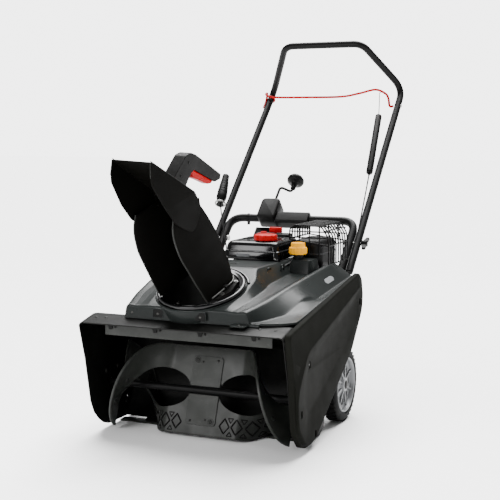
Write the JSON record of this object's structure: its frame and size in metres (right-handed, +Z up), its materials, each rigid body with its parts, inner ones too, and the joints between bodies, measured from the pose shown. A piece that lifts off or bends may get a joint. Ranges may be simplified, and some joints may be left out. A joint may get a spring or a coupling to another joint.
{
  "type": "single stage snowblower",
  "caption": "Walk-behind single stage snowblower with a paddle auger, turning chute, tilting deflector, folding handle, red bail and small engine on two wheels.",
  "frame": {"origin": "on the ground, under the middle of the overall bounding box", "axes": "+X to the operator's left, +Y towards the operator, +Z up"},
  "size_m": [0.603, 1.383, 1.0886],
  "materials": {
    "black_painted_steel": "satin black powder coat",
    "grey_painted_steel": "worn grey paint",
    "zinc_plated_steel": "zinc plate",
    "cast_aluminium": "rough cast",
    "charcoal_plastic": "satin charcoal",
    "black_plastic": "satin black",
    "gloss_black_plastic": "gloss black",
    "rubber": "moulded rubber",
    "tyre_rubber": "matt black tread",
    "silver_rim": "silver grey",
    "red_plastic": "bright red",
    "red_painted_wire": "dark red paint",
    "yellow_plastic": "yellow",
    "cord": "braided black cord"
  },
  "bodies": {
    "chassis": {"auger_housing": "black_painted_steel", "scraper_bar": "grey_painted_steel", "intake_lip": "grey_painted_steel", "body_shroud": "charcoal_plastic", "belt_cover": "charcoal_plastic", "right_side_cover": "charcoal_plastic", "chassis_frame": "black_painted_steel", "axle": "zinc_plated_steel", "left_auger_bearing": "black_plastic", "right_auger_bearing": "black_plastic", "drive_belt": "rubber", "engine_block": "cast_aluminium", "cylinder_head": "cast_aluminium", "recoil_housing": "black_painted_steel", "carburettor_cover": "black_plastic", "fuel_tank": "black_plastic", "engine_cover": "gloss_black_plastic", "oil_fill_tube": "black_plastic", "control_panel": "black_plastic", "muffler": "black_painted_steel", "muffler_guard": "black_painted_steel", "lower_handle": "black_painted_steel", "left_handle_bolt": "zinc_plated_steel", "right_handle_bolt": "zinc_plated_steel", "bail_cable_lower": "black_plastic", "starter_rope": "cord", "crank_gearbox": "black_plastic", "crossbar_cover": "black_plastic", "crank_bracket": "black_painted_steel", "cable_tie": "black_plastic"},
    "left_wheel": {"left_tyre": "tyre_rubber", "left_rim": "silver_rim"},
    "right_wheel": {"right_tyre": "tyre_rubber", "right_rim": "silver_rim"},
    "auger": {"auger_shaft": "black_painted_steel", "auger_paddle_upper": "rubber", "auger_paddle_lower": "rubber", "auger_plate_upper": "grey_painted_steel", "auger_plate_lower": "grey_painted_steel", "auger_pulley": "zinc_plated_steel"},
    "engine_shaft": {"engine_pulley": "zinc_plated_steel"},
    "idler": {"idler_arm": "zinc_plated_steel"},
    "idler_wheel": {"idler_pulley": "zinc_plated_steel"},
    "discharge_chute": {"chute_ring": "gloss_black_plastic", "chute": "black_plastic"},
    "chute_deflector": {"deflector": "black_plastic", "chute_grip": "black_plastic"},
    "deflector_latch": {"trigger": "red_plastic"},
    "fuel_lid": {"fuel_cap": "red_plastic"},
    "oil_lid": {"oil_cap": "yellow_plastic"},
    "choke": {"choke_knob": "red_plastic"},
    "handlebar": {"upper_handle": "black_painted_steel", "rope_guide": "zinc_plated_steel"},
    "bail_lever": {"bail": "red_painted_wire"},
    "control_cable": {"bail_cable": "black_plastic"},
    "starter_handle": {"starter_grip": "black_plastic"},
    "left_knob": {"left_wing_knob": "black_plastic"},
    "right_knob": {"right_wing_knob": "black_plastic"},
    "crank": {"crank_rod": "black_painted_steel"},
    "crank_handle": {"crank_knob": "black_plastic"}
  },
  "joints": [
    {"name": "left_wheel_spin", "type": "hinge", "parent": "chassis", "child": "left_wheel", "pos_m": [0.273, -0.08635, 0.1015], "axis": [1, 0, 0], "continuous": true},
    {"name": "right_wheel_spin", "type": "hinge", "parent": "chassis", "child": "right_wheel", "pos_m": [-0.279, -0.08635, 0.1015], "axis": [1, 0, 0], "continuous": true},
    {"name": "auger_spin", "type": "hinge", "parent": "chassis", "child": "auger", "pos_m": [-0.003, -0.36435, 0.1185], "axis": [1, 0, 0], "continuous": true},
    {"name": "engine_spin", "type": "hinge", "parent": "chassis", "child": "engine_shaft", "pos_m": [0.289, -0.08435, 0.322], "axis": [1, 0, 0], "continuous": true},
    {"name": "idler_swing", "type": "hinge", "parent": "chassis", "child": "idler", "pos_m": [0.2938, -0.17935, 0.318], "axis": [1, 0, 0], "range_deg": [0, 8]},
    {"name": "idler_spin", "type": "hinge", "parent": "idler", "child": "idler_wheel", "pos_m": [0.2873, -0.25435, 0.288], "axis": [1, 0, 0], "continuous": true},
    {"name": "chute_turn", "type": "hinge", "parent": "chassis", "child": "discharge_chute", "pos_m": [-0.003, -0.38435, 0.392], "axis": [0, -0.3256, 0.9455], "range_deg": [-86.5, 103.5]},
    {"name": "deflector_tilt", "type": "hinge", "parent": "discharge_chute", "child": "chute_deflector", "pos_m": [-0.01039, -0.50924, 0.60282], "axis": [0.989, -0.1398, -0.0481], "range_deg": [-8, 50]},
    {"name": "trigger_pull", "type": "slide", "parent": "chute_deflector", "child": "deflector_latch", "axis": [0.0909, 0.3187, 0.9435], "range_m": [0, 0.007], "stiffness_N_per_m": 200, "springref_m": -0.004},
    {"name": "fuel_cap_turn", "type": "hinge", "parent": "chassis", "child": "fuel_lid", "pos_m": [0.041, -0.05535, 0.487], "axis": [0, 0, 1], "range_deg": [0, 180]},
    {"name": "oil_cap_turn", "type": "hinge", "parent": "chassis", "child": "oil_lid", "pos_m": [0.146, -0.07435, 0.448], "axis": [0, 0, 1], "range_deg": [0, 180]},
    {"name": "choke_turn", "type": "hinge", "parent": "chassis", "child": "choke", "pos_m": [0.009, 0.10365, 0.5], "axis": [0, 0, 1], "range_deg": [0, 60]},
    {"name": "handle_fold", "type": "hinge", "parent": "chassis", "child": "handlebar", "pos_m": [-0.003, 0.21065, 0.46059], "axis": [1, 0, 0], "range_deg": [0, 80], "deforming": ["starter_rope", "bail_cable_lower", "bail_cable"]},
    {"name": "bail_swing", "type": "hinge", "parent": "handlebar", "child": "bail_lever", "pos_m": [-0.003, 0.64065, 0.87767], "axis": [1, 0, 0], "range_deg": [0, 50], "stiffness_Nm_per_rad": 0.5, "springref_deg": -11.46},
    {"name": "cable_sway", "type": "hinge", "parent": "handlebar", "child": "control_cable", "pos_m": [0.2155, 0.24065, 0.4665], "axis": [1, 0, 0], "range_deg": [0, 3.5]},
    {"name": "starter_pull", "type": "slide", "parent": "handlebar", "child": "starter_handle", "axis": [-0.1373, 0.6825, 0.7178], "range_m": [0, 0.12], "stiffness_N_per_m": 30, "springref_m": -0.03},
    {"name": "left_knob_turn", "type": "hinge", "parent": "chassis", "child": "left_knob", "pos_m": [0.2412, 0.21065, 0.46059], "axis": [1, 0, 0], "continuous": true},
    {"name": "right_knob_turn", "type": "hinge", "parent": "chassis", "child": "right_knob", "pos_m": [-0.2472, 0.21065, 0.46059], "axis": [1, 0, 0], "continuous": true},
    {"name": "crank_turn", "type": "hinge", "parent": "chassis", "child": "crank", "pos_m": [-0.085, 0.29836, 0.53731], "axis": [0, 0.7178, 0.6962], "range_deg": [-700, 840]},
    {"name": "crank_knob_spin", "type": "hinge", "parent": "crank", "child": "crank_handle", "pos_m": [-0.042, 0.37903, 0.60998], "axis": [0, 0.7178, 0.6962], "continuous": true}
  ],
  "couplings": [
    {"joint": "engine_spin", "follows": "auger_spin", "ratio": 3},
    {"joint": "idler_swing", "follows": "bail_swing", "ratio": 0.155},
    {"joint": "cable_sway", "follows": "bail_swing", "ratio": 0.062},
    {"joint": "crank_turn", "follows": "chute_turn", "ratio": 8}
  ]
}
